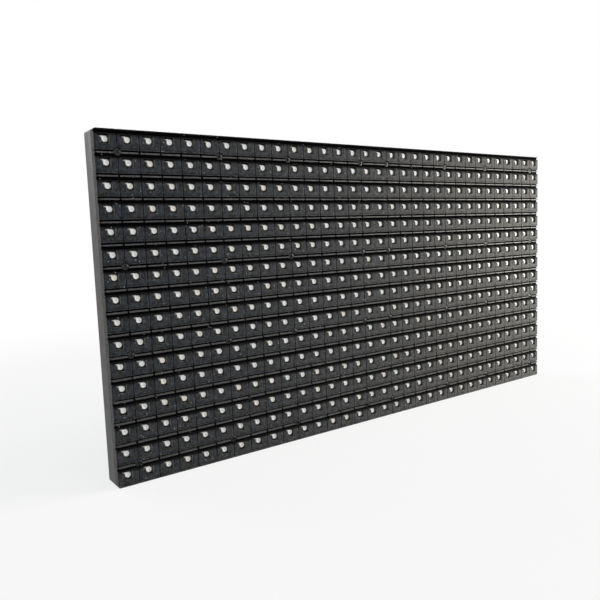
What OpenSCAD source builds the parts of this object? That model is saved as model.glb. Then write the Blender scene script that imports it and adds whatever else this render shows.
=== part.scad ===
// Outdoor LED display module: a grid of surface-mount lamps behind a louvred front mask,
// on a circuit board carried by a ribbed rear shell.
// Every piece is drawn lying on its back, face up: X across the face, Y up the face and
// Z from the rear rim towards the viewer. stand_up() then sets it on its bottom edge,
// with the face towards -Y, the middle of its bottom edge at the origin and +Z up.

/* [Pixel grid] */
// Distance between lamps, both ways
pitch = 10; // [9.5:0.1:11]
// Number of lamp columns on the whole module
columns = 32; // [28:4:36]
// Number of lamp rows on the whole module
rows = 16; // [16:1:20]
// Distance from each outer edge to the edge of the pixel grid
edge_gap = 0.15; // [0.05:0.05:0.4]
// Width of the seam between the two mask halves
seam_gap = 0.2; // [0.1:0.05:0.5]

/* [Depths] */
// From the rear rim of the shell to the pads of the mask
body_depth = 13; // [12.5:0.5:18]
// Thickness of the mask plate, from its pads to its back
plate_t = 2; // [1.8:0.1:2.5]
// How far the lamps' faces lie behind the pads
lamp_recess = 1.1; // [0.6:0.1:1.4]
// Thickness of the circuit board
board_t = 1.6; // [1.2:0.1:2]
// Gap between the cast silicone and the back of the mask
cast_gap = 0.7; // [0.4:0.05:0.8]

/* [Mask] */
// Height of a louvre rib up the face
rib_t = 0.65; // [0.5:0.05:1]
// How far the louvre ribs stand out past the pads
rib_proud = 0.3; // [0.1:0.1:0.8]
// Distance from a row's upper line down to the middle of its rib
rib_drop = 0.35; // [0.2:0.05:0.6]
// Bevel along the upper front edge of a rib, which turns it towards the sky
rib_bevel = 0.3; // [0.1:0.05:0.45]
// Depth of the shadow grooves beside a rib, from the pads
groove_depth = 1.2; // [0.8:0.1:1.4]
// Height of the groove above a rib
groove_above = 0.85; // [0.5:0.05:1]
// Height of the groove below a rib
groove_below = 1.5; // [0.8:0.05:1.7]
// Width of the groove between two pads of a row
pad_groove_w = 0.45; // [0.3:0.05:0.8]
// Depth of the groove between two pads of a row
pad_groove_depth = 0.8; // [0.4:0.1:1.1]
// Width of the notch between two rib pieces
notch_w = 1; // [0.6:0.1:1.6]
// Gap between a lamp and its window
window_gap = 0.55; // [0.3:0.05:0.7]
// Width of the relief at a window's upper left corner
relief_w = 1.4; // [0.8:0.1:1.8]
// Height of that relief above the lamp's centre where it leaves the window
relief_low = 0.55; // [0.3:0.05:0.9]
// Height of that relief above the lamp's centre at its far end
relief_end = 1.4; // [1:0.1:1.7]
// Thickness of the mask's side skirt
skirt_t = 1; // [0.8:0.1:1.4]
// Open gap between the skirt and the rear shell
skirt_gap = 1; // [0.6:0.1:1.4]
// Bevel along the front edges of the mask
edge_bevel = 0.4; // [0.2:0.1:0.6]
// Corner radius of the module's outline
corner_r = 1; // [0.6:0.1:2]

/* [Lamps] */
// Side of a lamp's square housing
lamp_w = 2.8; // [2.7:0.1:3.2]
// Height of a lamp above the board
lamp_h = 2.3; // [2:0.1:2.8]
// Distance from a row's upper line down to the lamps' centres
lamp_drop = 4.6; // [4.4:0.1:5]
// Diameter of the reflector cup at the lamp's face
cup_d = 2.6; // [2.2:0.1:2.7]
// Diameter of the reflector cup at its floor
cup_floor_d = 2; // [1.6:0.1:2.1]
// Depth of the reflector cup
cup_depth = 0.9; // [0.5:0.1:1.2]
// Chamfer that marks the lamp's first terminal
mark_chamfer = 0.3; // [0.1:0.1:0.4]
// Clearance round cast and press-fitted pieces
cast_fit = 0.02; // [0.01:0.01:0.05]

/* [Fasteners] */
// Diameter of a mask screw's shank
screw_d = 1.9; // [1.6:0.1:2.2]
// Length of a mask screw under its head
screw_len = 8; // [6.5:0.5:9]
// Diameter of a mask screw's head
head_d = 3.3; // [3:0.1:3.6]
// Height of a mask screw's head
head_h = 1.1; // [0.8:0.1:1.2]
// Clearance round a screw's head
head_clear = 0.25; // [0.15:0.05:0.35]
// Clearance round a screw's shank
shank_clear = 0.15; // [0.1:0.05:0.3]
// Thread diameter of the rear inserts
thread_d = 3; // [2.5:0.5:4]
// Outer diameter of the rear inserts
insert_d = 4.6; // [4.4:0.1:5.4]
// Length of the rear inserts
insert_len = 5; // [4:0.5:5.5]
// Distance of the outer inserts from the module's nearest side
insert_inset = 35; // [30:1:38]

/* [Rear shell] */
// Thickness of the shell's side wall
wall_t = 2.4; // [2:0.1:3]
// Height of the shell's full-width rear band
band_h = 5.2; // [4:0.1:6]
// How far the wall steps in above that band
band_inset = 0.8; // [0.4:0.1:1]
// Width of the rear lip that carries the seal
lip_w = 9; // [8:0.5:10]
// Thickness of the rear lip
lip_t = 2.6; // [2.4:0.1:3.2]
// Thickness of the cross bars
bar_t = 2; // [1.5:0.1:3]
// How far the cross bars lie in front of the rear rim
bar_sink = 0.8; // [0.4:0.1:1.5]
// Room between the cross bars and the board
bar_room = 1; // [0.6:0.1:1.6]
// Diameter of the screw posts
post_d = 6; // [5:0.1:6.6]
// Diameter of the insert bosses
boss_d = 8; // [7.4:0.1:9]
// Diameter of the locating pins
pin_d = 4; // [3:0.1:5]
// How far the locating pins stand out behind the rim
pin_len = 3; // [2:0.5:5]
// Distance of the locating pins from the module's nearest side
pin_inset = 20; // [19:0.5:23]
// Width of the rubber seal
seal_w = 2.8; // [2:0.1:3.2]
// Depth of the seal's groove
seal_depth = 1.4; // [1:0.1:1.8]
// How far the seal stands out behind the rim
seal_proud = 0.8; // [0.4:0.1:1.4]
// Clearance on each side of the seal
seal_clear = 0.1; // [0.05:0.05:0.2]

/* [Connectors] */
// Distance of the signal headers from the module's outer edge
header_inset = 45; // [40:1:50]
// Contact spacing of the signal headers
header_pitch = 2.54; // [2:0.01:2.54]
// Contacts in each of a signal header's two rows
header_contacts = 8; // [5:1:9]
// Height of a signal header above the board
header_h = 8.9; // [8:0.1:9.4]
// Distance of the power header from the module's middle
power_x = 25; // [20:1:28]
// Contact spacing of the power header
power_pitch = 3.96; // [3.5:0.01:5]
// Contacts of the power header
power_contacts = 4; // [2:1:5]

/* [Components] */
// Number of driver chips across each half, above and below the middle
drivers_across = 6; // [4:1:7]
// Distance of the driver chips from the module's upper and lower edge
driver_inset = 35; // [32:1:40]
// Length of a driver chip
driver_l = 8.65; // [6:0.05:10.5]
// Width of a driver chip
driver_w = 3.9; // [3:0.1:5.5]
// Height of the chips
chip_h = 1.5; // [1:0.1:1.7]
// Diameter of the electrolytic capacitors
can_d = 6.3; // [5:0.1:8]
// Height of the electrolytic capacitors
can_h = 5.4; // [4.5:0.1:6]
// Distance of the electrolytic capacitors from the module's middle
can_x = 45; // [40:1:50]

/* [Hidden] */
$fn = 48;
eps = 0.01;
// How far a cut runs past the face that it opens
over = 1;
// The same for the rib bevels, which stay clear of the pads above
bevel_over = 0.2;

// Outline of the pixel grid and of the module
grid_w = columns * pitch;
grid_h = rows * pitch;
out_w = grid_w - 2 * edge_gap;
out_h = grid_h - 2 * edge_gap;
half_columns = columns / 2;
half_grid = grid_w / 2;
mid_y = out_h / 2;

// Levels above the rear rim
face_z = body_depth;
rib_z = face_z + rib_proud;
plate_back_z = face_z - plate_t;
lamp_face_z = face_z - lamp_recess;
cast_z = plate_back_z - cast_gap;
board_front_z = lamp_face_z - lamp_h;
board_back_z = board_front_z - board_t;
skirt_end_z = board_back_z + skirt_gap;
bar_top_z = board_back_z - bar_room;
depth_mid = (rib_z - pin_len) / 2;

// Insets from the module's outline
board_clear = 0.2;
board_inset = skirt_t + board_clear;
wall_inner = band_inset + wall_t;
seal_inset = lip_w / 2;

// Mask screws: on the grid lines with these numbers, counted from each side of a half
screw_lines = [1, 6];
function from_both_sides(count) = concat(screw_lines, [for (i = [1, 0]) count - screw_lines[i]]);
screw_columns = from_both_sides(half_columns);
screw_rows = from_both_sides(rows);
head_under = 0.2;
seat_z = face_z - head_under - head_h;
seat_d = head_d + 2 * head_clear;
hole_d = screw_d + 2 * shank_clear;
mask_boss_wall = 1.3;
mask_boss_d = hole_d + 2 * mask_boss_wall;
tip_room = 0.6;
head_crown = 0.35;

// Lamp window round a lamp's centre
window_half = lamp_w / 2 + window_gap;

// Rear fittings
fitting_y = pitch - edge_gap;
insert_sink = 0.2;
insert_room = 0.8;
pin_tip = 0.8;
insert_x = half_grid - insert_inset;
pin_x = half_grid - pin_inset;

// Signal headers, with the contact rows up the face
header_wall = 1.2;
header_w = 9;
header_end = 5.1;
header_l = (header_contacts - 1) * header_pitch + 2 * header_end;
header_floor = 2.4;
key_w = 4.5;
contact_w = 0.64;
contact_tip = 1.6;
contact_fit = 0.03;
header_x = out_w / 2 - header_inset;

// Power header
power_w = 8.5;
power_end = 1.95;
power_l = (power_contacts - 1) * power_pitch + 2 * power_end;
power_floor = 3.2;
power_back_t = 1.2;
power_back_h = 7.4;
power_contact_w = 1.14;
power_contact_h = 8.6;

// Chips and small components on the back of the board
chip_stand = 0.1;
chip_draft = 0.12;
dimple_d = 0.9;
dimple_depth = 0.12;
buffer_size = [6.5, 4.4];
switch_size = [4.9, 3.9];
decoder_size = [9.9, 3.9];
buffer_gap = 20;
switch_gap = 38;
buffer_x = header_x - buffer_gap;
switch_x = header_x - switch_gap;
switch_pitch = 8;
switch_count = 4;
decoder_x = -25;
buffer_y = 8;
can_y = 8;
base_margin = 0.2;
base_w = can_d + 2 * base_margin;
base_t = 0.9;
can_neck = 0.35;
can_round = 0.6;
small_size = [1.6, 0.8, 0.8];
small_gap = 3.2;

// Names of the nodes
function two(n) = n < 10 ? str("0", n) : str(n);
lamp_nodes = [for (r = [1 : rows]) str("lamp_row_", two(r))];
lens_nodes = [for (r = [1 : rows]) str("lens_row_", two(r))];

// Places on the face, measured from the middle of the bottom edge
function column_x(c) = (c + 0.5) * pitch - half_grid;
function row_line(r) = grid_h - edge_gap - r * pitch;
function lamp_y(r) = row_line(r) - lamp_drop;
function half_start(side) = side < 0 ? 0 : half_columns;
screw_spots = [for (side = [-1, 1], c = screw_columns, r = screw_rows)
    [(half_start(side) + c) * pitch - half_grid, row_line(r)]];
insert_spots = [for (x = [-insert_x, 0, insert_x], y = [fitting_y, out_h - fitting_y]) [x, y]];
pin_spots = [[-pin_x, out_h - fitting_y], [pin_x, fitting_y]];
driver_step = half_grid / drivers_across;
driver_spots = [for (side = [-1, 1], i = [0 : drivers_across - 1], y = [driver_inset, out_h - driver_inset])
    [side * (i + 0.5) * driver_step, y]];

// Sets a piece that was drawn on its back upright on the bottom edge
module stand_up() {
    translate([0, depth_mid, 0])
        rotate([90, 0, 0])
            children();
}

// A flat outline raised from one level to another
module raised(from, to) {
    translate([0, 0, from])
        linear_extrude(to - from)
            children();
}

// The module's outline moved in by a distance, with rounded corners
module outline(inset, r) {
    w = out_w - 2 * inset;
    h = out_h - 2 * inset;
    translate([-w / 2 + r, inset])
        square([w - 2 * r, h]);
    translate([-w / 2, inset + r])
        square([w, h - 2 * r]);
    for (x = [-1, 1], y = [0, 1])
        translate([x * (w / 2 - r), inset + r + y * (h - 2 * r)])
            circle(r);
}

// The outline between two insets
module ring(outer, inner) {
    difference() {
        outline(outer, corner_r);
        translate([-out_w / 2 + inner, inner])
            square([out_w - 2 * inner, out_h - 2 * inner]);
    }
}

// One half of the face, up to the seam
module half_face(side) {
    translate([side < 0 ? -out_w : seam_gap / 2, -pitch])
        square([out_w - seam_gap / 2, out_h + 2 * pitch]);
}

// A strip across one half, between two heights up the face
module strip(low, high) {
    translate([-out_w, low])
        square([2 * out_w, high - low]);
}

// Window of one lamp, with the relief that opens it towards the upper left
module window() {
    w = window_half;
    polygon([
        [-w, -w],
        [w, -w],
        [w, w],
        [-w - relief_w, w],
        [-w - relief_w, relief_end],
        [-w, relief_low]
    ]);
}

module windows(side) {
    for (c = [0 : half_columns - 1], r = [0 : rows - 1])
        translate([column_x(half_start(side) + c), lamp_y(r)])
            window();
}

// Grooves above and below every rib
module shadow_grooves() {
    for (r = [0 : rows - 1]) {
        rib_low = row_line(r) - rib_drop - rib_t / 2;
        strip(rib_low - groove_below, rib_low);
        if (r > 0) strip(rib_low + rib_t, rib_low + rib_t + groove_above);
    }
}

// Lower and upper end of a row's pad
function pad_top(r) = row_line(r) - rib_drop - rib_t / 2 - groove_below;
function pad_low(r) = r == rows - 1 ? -pitch
    : row_line(r + 1) - rib_drop + rib_t / 2 + groove_above;

// Grooves between pads, widened to notches where they cross the ribs
module pad_grooves(side) {
    for (c = [1 : half_columns - 1]) {
        x = (half_start(side) + c) * pitch - half_grid;
        translate([x - pad_groove_w / 2, -pitch])
            square([pad_groove_w, out_h + 2 * pitch]);
    }
}

module rib_notches(side) {
    for (c = [1 : half_columns - 1], r = [0 : rows - 1]) {
        x = (half_start(side) + c) * pitch - half_grid;
        y = row_line(r) - rib_drop;
        translate([x - notch_w / 2, y - rib_t])
            square([notch_w, 2 * rib_t]);
    }
}

// Cuts the bevel along the upper front edge of every rib
module rib_bevels() {
    for (r = [0 : rows - 1])
        translate([-out_w, row_line(r) - rib_drop + rib_t / 2, rib_z])
            rotate([90, 0, 90])
                linear_extrude(2 * out_w)
                    polygon([
                        [-rib_bevel - bevel_over, bevel_over],
                        [bevel_over, -rib_bevel - bevel_over],
                        [bevel_over, bevel_over]
                    ]);
}

module screw_circles(side, d) {
    for (s = screw_spots)
        if (s[0] * side > 0)
            translate(s)
                circle(d = d);
}

// Cuts the bevel along a front edge that runs along X, with the module on its +Y side
module edge_cut(length) {
    reach = edge_bevel + rib_proud;
    rotate([45, 0, 0])
        translate([-length / 2, -2 * reach, -reach / sqrt(2)])
            cube([length, 4 * reach, 3 * reach]);
}

// One half of the front mask
module mask_half(side) {
    difference() {
        union() {
            raised(plate_back_z, rib_z) intersection() {
                outline(0, corner_r);
                half_face(side);
            }
            raised(skirt_end_z, plate_back_z + eps) intersection() {
                ring(0, skirt_t);
                half_face(side);
            }
            raised(board_front_z, plate_back_z + eps)
                screw_circles(side, mask_boss_d);
        }
        raised(face_z, rib_z + over)
            for (r = [0 : rows - 1])
                strip(pad_low(r), pad_top(r));
        raised(face_z - groove_depth, rib_z + over) shadow_grooves();
        raised(face_z - pad_groove_depth, rib_z + over) union() {
            pad_grooves(side);
            rib_notches(side);
        }
        rib_bevels();
        raised(plate_back_z - over, rib_z + over) windows(side);
        raised(seat_z, rib_z + over) screw_circles(side, seat_d);
        raised(board_front_z - over, rib_z + over) screw_circles(side, hole_d);
        translate([0, 0, rib_z])
            edge_cut(2 * out_w);
        translate([0, out_h, rib_z])
            rotate([0, 0, 180])
                edge_cut(2 * out_w);
        translate([side * out_w / 2, mid_y, rib_z])
            rotate([0, 0, side * 90])
                edge_cut(2 * out_h);
    }
}

module mask_left() {
    color("#2b2e33") stand_up() mask_half(-1);
}

module mask_right() {
    color("#2b2e33") stand_up() mask_half(1);
}

// Self-tapping screws that clamp the mask and the board to the shell
module mask_screws() {
    color("#6b6c70") stand_up()
        for (s = screw_spots)
            translate([s[0], s[1], seat_z])
                rotate_extrude()
                    polygon([
                        [0, -screw_len],
                        [screw_d / 4, -screw_len],
                        [screw_d / 2, -screw_len + screw_d / 2],
                        [screw_d / 2, 0],
                        [head_d / 2, 0],
                        [head_d / 2, head_h - head_crown],
                        [head_d / 2 - head_crown, head_h],
                        [0, head_h]
                    ]);
}

// Silicone that is cast round the lamps on the front of the board
module cast_silicone() {
    hole = lamp_w + 2 * cast_fit;
    color("#17181a") stand_up()
        raised(board_front_z, cast_z) difference() {
            outline(board_inset, corner_r);
            for (c = [0 : columns - 1], r = [0 : rows - 1])
                translate([column_x(c) - hole / 2, lamp_y(r) - hole / 2])
                    square(hole);
            for (s = screw_spots)
                translate(s)
                    circle(d = mask_boss_d + 2 * cast_fit);
        }
}

module circuit_board() {
    color("#1d4a33") stand_up()
        raised(board_back_z, board_front_z) difference() {
            outline(board_inset, corner_r);
            for (s = screw_spots)
                translate(s)
                    circle(d = hole_d);
        }
}

// Housings of one row of lamps, with the reflector cup and the marked corner
module lamp_housing() {
    difference() {
        raised(board_front_z, lamp_face_z)
            polygon([
                [-lamp_w / 2, -lamp_w / 2],
                [lamp_w / 2 - mark_chamfer, -lamp_w / 2],
                [lamp_w / 2, mark_chamfer - lamp_w / 2],
                [lamp_w / 2, lamp_w / 2],
                [-lamp_w / 2, lamp_w / 2]
            ]);
        translate([0, 0, lamp_face_z - cup_depth])
            cylinder(d1 = cup_floor_d, d2 = cup_d, h = cup_depth);
    }
}

module lamp_row(r) {
    color("#e8e6df") stand_up()
        for (c = [0 : columns - 1])
            translate([column_x(c), lamp_y(r - 1), 0])
                lamp_housing();
}

// Resin that fills the cups of one row of lamps
module lens_row(r) {
    fill_h = cup_depth - cast_fit;
    color("#f6f6f2") stand_up()
        for (c = [0 : columns - 1])
            translate([column_x(c), lamp_y(r - 1), lamp_face_z - fill_h])
                cylinder(d1 = cup_floor_d - 2 * cast_fit, d2 = cup_d - 2 * cast_fit, h = fill_h);
}

// Cross bars of the shell: two across the face and one up its middle
module bars() {
    for (i = [1, 2])
        translate([-out_w / 2 + wall_inner - eps, row_line(screw_rows[i]) - bar_t / 2])
            square([out_w - 2 * wall_inner + 2 * eps, bar_t]);
    translate([-bar_t / 2, wall_inner - eps])
        square([bar_t, out_h - 2 * wall_inner + 2 * eps]);
}

// Short webs that tie the outer posts and bosses to the side wall
module webs() {
    edge_posts = [for (s = screw_spots) if (s[1] < 2 * pitch || s[1] > out_h - 2 * pitch) s];
    for (s = concat(edge_posts, insert_spots, pin_spots)) {
        low = s[1] < mid_y;
        translate([s[0] - bar_t / 2, low ? wall_inner - eps : s[1]])
            square([bar_t, (low ? s[1] : out_h - s[1]) - wall_inner + eps]);
    }
}

module rear_shell() {
    color("#26282c") stand_up()
        difference() {
            union() {
                raised(0, band_h) ring(0, wall_inner);
                raised(0, board_back_z) ring(band_inset, wall_inner);
                raised(0, lip_t) ring(0, lip_w);
                raised(bar_sink, bar_top_z) {
                    bars();
                    webs();
                }
                raised(bar_sink, board_back_z)
                    for (s = screw_spots)
                        translate(s)
                            circle(d = post_d);
                raised(0, bar_top_z)
                    for (s = concat(insert_spots, pin_spots))
                        translate(s)
                            circle(d = boss_d);
                for (s = pin_spots)
                    translate([s[0], s[1], -pin_len])
                        locating_pin();
            }
            raised(-over, seal_depth)
                ring(seal_inset - seal_w / 2 - seal_clear, seal_inset + seal_w / 2 + seal_clear);
            for (s = screw_spots)
                translate([s[0], s[1], seat_z - screw_len - tip_room])
                    cylinder(d = screw_d + 2 * cast_fit, h = body_depth);
            for (s = insert_spots)
                translate([s[0], s[1], -over])
                    cylinder(d = insert_d + 2 * cast_fit, h = over + insert_sink + insert_len + insert_room);
        }
}

// Locating pin with a tapered tip
module locating_pin() {
    cylinder(d1 = pin_d - 2 * pin_tip, d2 = pin_d, h = pin_tip);
    translate([0, 0, pin_tip])
        cylinder(d = pin_d, h = pin_len - pin_tip + eps);
}

// Rubber seal round the rear lip
module rear_seal() {
    color("#141416") stand_up()
        raised(-seal_proud, seal_depth)
            ring(seal_inset - seal_w / 2, seal_inset + seal_w / 2);
}

// Brass inserts that take the fixing screws
module threaded_inserts() {
    color("#b08d3c") stand_up()
        for (s = insert_spots)
            translate([s[0], s[1], insert_sink])
                difference() {
                    cylinder(d = insert_d, h = insert_len);
                    translate([0, 0, -over])
                        cylinder(d = thread_d, h = insert_len + 2 * over);
                }
}

// Contact places of a two-row signal header
header_grid = [for (x = [-1, 1], i = [0 : header_contacts - 1])
    [x * header_pitch / 2, (i - (header_contacts - 1) / 2) * header_pitch]];

module on_board(x, y) {
    translate([x, y, board_back_z])
        mirror([0, 0, 1])
            children();
}

module square_holes(spots, w) {
    for (p = spots)
        translate([p[0] - w / 2, p[1] - w / 2])
            square(w);
}

// Shrouded housing of a signal header, with its key slot
module header_housing(x) {
    on_board(x, mid_y) difference() {
        union() {
            raised(0, header_floor) difference() {
                square([header_w, header_l], center = true);
                square_holes(header_grid, contact_w + 2 * contact_fit);
            }
            raised(header_floor - eps, header_h) difference() {
                square([header_w, header_l], center = true);
                square([header_w - 2 * header_wall, header_l - 2 * header_wall], center = true);
            }
        }
        translate([-header_w, -key_w / 2, header_floor])
            cube([header_w, key_w, header_h]);
    }
}

module header_pins(x) {
    on_board(x, mid_y)
        raised(0, header_h - contact_tip)
            square_holes(header_grid, contact_w);
}

module input_header() {
    color("#1b1c1f") stand_up() header_housing(header_x);
}

module input_contacts() {
    color("#c9a94f") stand_up() header_pins(header_x);
}

module output_header() {
    color("#1b1c1f") stand_up() header_housing(-header_x);
}

module output_contacts() {
    color("#c9a94f") stand_up() header_pins(-header_x);
}

// Contact places of the power header
power_grid = [for (i = [0 : power_contacts - 1]) [0, (i - (power_contacts - 1) / 2) * power_pitch]];

module power_header() {
    color("#e6e3d8") stand_up() on_board(power_x, mid_y) {
        raised(0, power_floor) difference() {
            square([power_w, power_l], center = true);
            square_holes(power_grid, power_contact_w + 2 * contact_fit);
        }
        translate([-power_w / 2, -power_l / 2, power_floor - eps])
            cube([power_back_t, power_l, power_back_h - power_floor]);
    }
}

module power_contacts_set() {
    color("#c4c6c8") stand_up() on_board(power_x, mid_y)
        raised(0, power_contact_h)
            square_holes(power_grid, power_contact_w);
}

// Moulded chip body with drafted sides and a dimple at its first lead
module chip(size) {
    l = size[0];
    w = size[1];
    translate([0, 0, chip_stand])
        difference() {
            translate([-l / 2, 0, 0])
                rotate([90, 0, 90])
                    linear_extrude(l)
                        polygon([
                            [chip_draft - w / 2, 0],
                            [w / 2 - chip_draft, 0],
                            [w / 2, chip_h / 2],
                            [w / 2 - chip_draft, chip_h],
                            [chip_draft - w / 2, chip_h],
                            [-w / 2, chip_h / 2]
                        ]);
            translate([dimple_d - l / 2, dimple_d - w / 2, chip_h - dimple_depth])
                cylinder(d = dimple_d, h = over);
        }
}

module chips(spots, size) {
    for (s = spots)
        on_board(s[0], s[1])
            chip(size);
}

module driver_chips() {
    color("#1a1b1d") stand_up() chips(driver_spots, [driver_l, driver_w]);
}

module buffer_chips() {
    spots = [for (x = [-buffer_x, buffer_x], y = [-buffer_y, buffer_y]) [x, mid_y + y]];
    color("#1a1b1d") stand_up() chips(spots, buffer_size);
}

module row_switches() {
    first_y = mid_y - (switch_count - 1) / 2 * switch_pitch;
    spots = [for (x = [-switch_x, switch_x], i = [0 : switch_count - 1]) [x, first_y + i * switch_pitch]];
    color("#1a1b1d") stand_up() chips(spots, switch_size);
}

module row_decoder() {
    color("#1a1b1d") stand_up() chips([[decoder_x, mid_y]], decoder_size);
}

// Electrolytic capacitors: a chamfered base and a drawn can
can_spots = [for (x = [-can_x, can_x], y = [-can_y, can_y]) [x, mid_y + y]];

module capacitor_bases() {
    cut = base_w / 4;
    color("#1c1c1e") stand_up()
        for (s = can_spots)
            on_board(s[0], s[1])
                linear_extrude(base_t)
                    polygon([
                        [-base_w / 2, -base_w / 2],
                        [base_w / 2 - cut, -base_w / 2],
                        [base_w / 2, cut - base_w / 2],
                        [base_w / 2, base_w / 2 - cut],
                        [base_w / 2 - cut, base_w / 2],
                        [-base_w / 2, base_w / 2]
                    ]);
}

module capacitor_cans() {
    r = can_d / 2;
    color("#b9bcc0") stand_up()
        for (s = can_spots)
            on_board(s[0], s[1])
                translate([0, 0, base_t])
                    rotate_extrude() {
                        square([r, can_neck]);
                        square([r - can_neck, 3 * can_neck]);
                        translate([0, 2 * can_neck])
                            square([r, can_h - 2 * can_neck - can_round]);
                        square([r - can_round, can_h]);
                        translate([r - can_round, can_h - can_round])
                            circle(can_round);
                    }
}

// Small chip components beside every driver
module small_parts(side) {
    for (s = driver_spots)
        on_board(s[0] + side * small_gap, s[1] + driver_w / 2 + small_gap)
            raised(0, small_size[2])
                square([small_size[0], small_size[1]], center = true);
}

module chip_capacitors() {
    color("#a08763") stand_up() small_parts(-1);
}

module chip_resistors() {
    color("#202124") stand_up() small_parts(1);
}

mask_left();
mask_right();
mask_screws();
cast_silicone();
circuit_board();
rear_shell();
rear_seal();
threaded_inserts();
input_header();
input_contacts();
output_header();
output_contacts();
power_header();
power_contacts_set();
driver_chips();
buffer_chips();
row_switches();
row_decoder();
capacitor_bases();
capacitor_cans();
chip_capacitors();
chip_resistors();
for (r = [1 : rows]) {
    lamp_row(r);
    lens_row(r);
}
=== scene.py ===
"""Looks of an LED display module: finishes of its moulded, cast and soldered pieces, its small
metal parts as meshes, and a pale studio seen from the front left."""

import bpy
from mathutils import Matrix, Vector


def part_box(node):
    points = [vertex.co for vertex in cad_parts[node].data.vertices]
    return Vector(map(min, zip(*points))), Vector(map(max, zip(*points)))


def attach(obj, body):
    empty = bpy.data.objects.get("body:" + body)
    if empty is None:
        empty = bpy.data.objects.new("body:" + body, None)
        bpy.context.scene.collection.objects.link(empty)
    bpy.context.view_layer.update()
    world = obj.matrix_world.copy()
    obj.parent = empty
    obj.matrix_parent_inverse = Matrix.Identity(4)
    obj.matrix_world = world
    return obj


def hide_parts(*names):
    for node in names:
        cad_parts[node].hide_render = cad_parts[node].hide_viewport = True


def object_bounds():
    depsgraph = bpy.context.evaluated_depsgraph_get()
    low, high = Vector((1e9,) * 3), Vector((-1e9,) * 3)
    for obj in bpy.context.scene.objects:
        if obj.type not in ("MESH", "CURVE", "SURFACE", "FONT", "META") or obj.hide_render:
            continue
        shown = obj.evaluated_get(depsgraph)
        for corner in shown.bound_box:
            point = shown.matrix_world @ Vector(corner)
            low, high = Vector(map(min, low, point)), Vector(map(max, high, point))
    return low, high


bl_info = {
    "name": "LED display module",
    "version": (1, 0, 0),
    "blender": (4, 5, 0),
    "location": "3D View > Sidebar > Display Module",
    "description": "Finishes an LED display module and sets it in a pale studio",
    "category": "Object",
}

import math
from functools import reduce

import bmesh
import bpy
import numpy as np
from bpy.props import FloatProperty, FloatVectorProperty, IntProperty, PointerProperty
from mathutils import Matrix, Vector

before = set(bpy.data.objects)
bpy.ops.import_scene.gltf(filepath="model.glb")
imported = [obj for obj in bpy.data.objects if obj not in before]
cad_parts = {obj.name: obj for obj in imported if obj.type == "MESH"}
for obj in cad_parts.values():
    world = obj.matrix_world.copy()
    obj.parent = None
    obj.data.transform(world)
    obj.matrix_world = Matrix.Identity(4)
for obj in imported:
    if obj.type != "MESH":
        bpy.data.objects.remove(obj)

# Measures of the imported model, in metres
MM = 0.001
CAD_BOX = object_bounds()
LAMP_ROWS = sorted(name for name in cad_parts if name.startswith("lamp_row_"))
LENS_ROWS = sorted(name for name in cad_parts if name.startswith("lens_row_"))


def middle(node):
    """Centre of a node's box."""
    low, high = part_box(node)
    return (low + high) / 2


FIRST_ROW = middle(LAMP_ROWS[0]).z
PITCH = FIRST_ROW - middle(LAMP_ROWS[1]).z
LAMP_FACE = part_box(LAMP_ROWS[0])[0].y
RIB_RISE = 0.3 * MM
PAD_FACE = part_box("mask_left")[0].y + RIB_RISE
BOARD_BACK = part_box("circuit_board")[1].y
OBJECT_MIDDLE = (CAD_BOX[0] + CAD_BOX[1]) / 2


def solids(node):
    """Boxes of the separate solids of a node, in order across and up the module."""
    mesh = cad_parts[node].data
    points = np.empty(len(mesh.vertices) * 3)
    mesh.vertices.foreach_get("co", points)
    points = points.reshape(-1, 3)
    spots, welded = np.unique(np.round(points, 6), axis=0, return_inverse=True)
    welded = welded.reshape(-1)
    group = list(range(len(spots)))

    def root(spot):
        while group[spot] != spot:
            group[spot] = group[group[spot]]
            spot = group[spot]
        return spot

    for polygon in mesh.polygons:
        corners = [root(welded[i]) for i in polygon.vertices]
        for corner in corners[1:]:
            group[root(corner)] = root(corners[0])
    roots = np.array([root(spot) for spot in range(len(spots))])
    boxes = [(spots[roots == r].min(0), spots[roots == r].max(0)) for r in np.unique(roots)]
    boxes.sort(key=lambda box: tuple(np.round(box[0], 5)))
    return [(Vector(low), Vector(high)) for low, high in boxes]


# Settings that a user would change


def colour(name, description, default):
    return FloatVectorProperty(
        name=name, description=description, default=default, size=3, min=0.0, max=1.0, subtype="COLOR"
    )


def length(name, description, default):
    return FloatProperty(
        name=name, description=description, default=default, min=0.0, unit="LENGTH", precision=5
    )


def share(name, description, default):
    return FloatProperty(
        name=name, description=description, default=default, min=0.0, max=1.0, subtype="FACTOR"
    )


def bearing(name, description, degrees):
    return FloatProperty(
        name=name, description=description, default=math.radians(degrees), subtype="ANGLE"
    )


def glow(name, description, default):
    return FloatProperty(name=name, description=description, default=default, min=0.0)


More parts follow.
